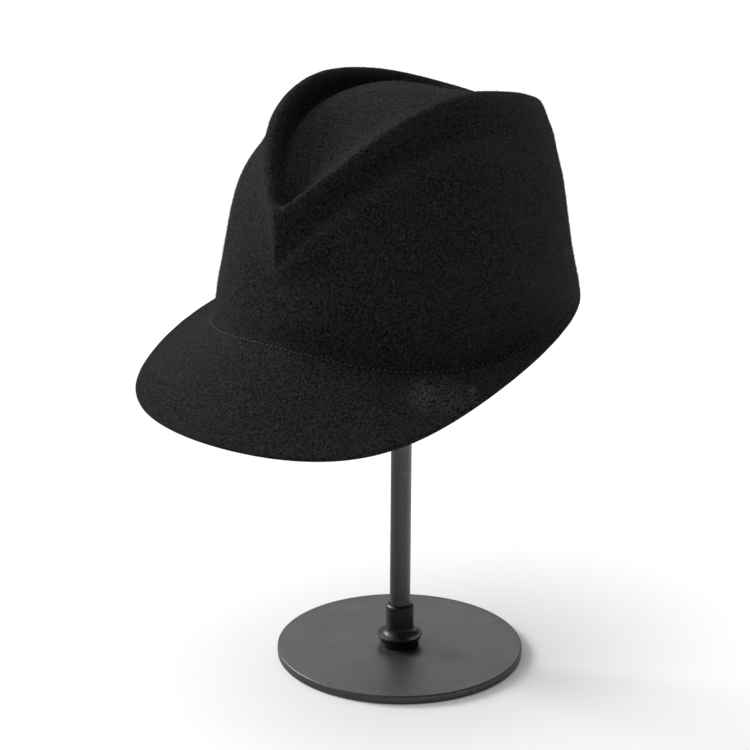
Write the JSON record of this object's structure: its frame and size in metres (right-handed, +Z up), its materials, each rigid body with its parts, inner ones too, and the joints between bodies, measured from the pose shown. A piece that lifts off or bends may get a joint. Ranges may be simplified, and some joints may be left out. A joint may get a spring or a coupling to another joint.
{
  "type": "wool felt hat on a display stand",
  "caption": "Blocked wool-felt hat with a teardrop crown, pinched front and drooping visor, seated on a domed rest, slim round rod and round base plate.",
  "frame": {"origin": "centre of the base plate's underside, on the surface that the stand rests on", "axes": "+Z up along the rod, -Y towards the hat's visor, +X towards the wearer's left"},
  "size_m": [0.1968, 0.2553, 0.3205],
  "materials": {
    "wool_felt": "black wool felt with a short brushed nap and no shine",
    "coated_steel": "matte black powder coat with a fine grain",
    "turned_ferrule": "satin black lacquer on a turned steel ferrule"
  },
  "bodies": {
    "root": {"felt_hat": "wool_felt", "head_rest": "coated_steel", "rod": "coated_steel", "rod_ferrule": "turned_ferrule", "base_plate": "coated_steel"}
  },
  "joints": []
}
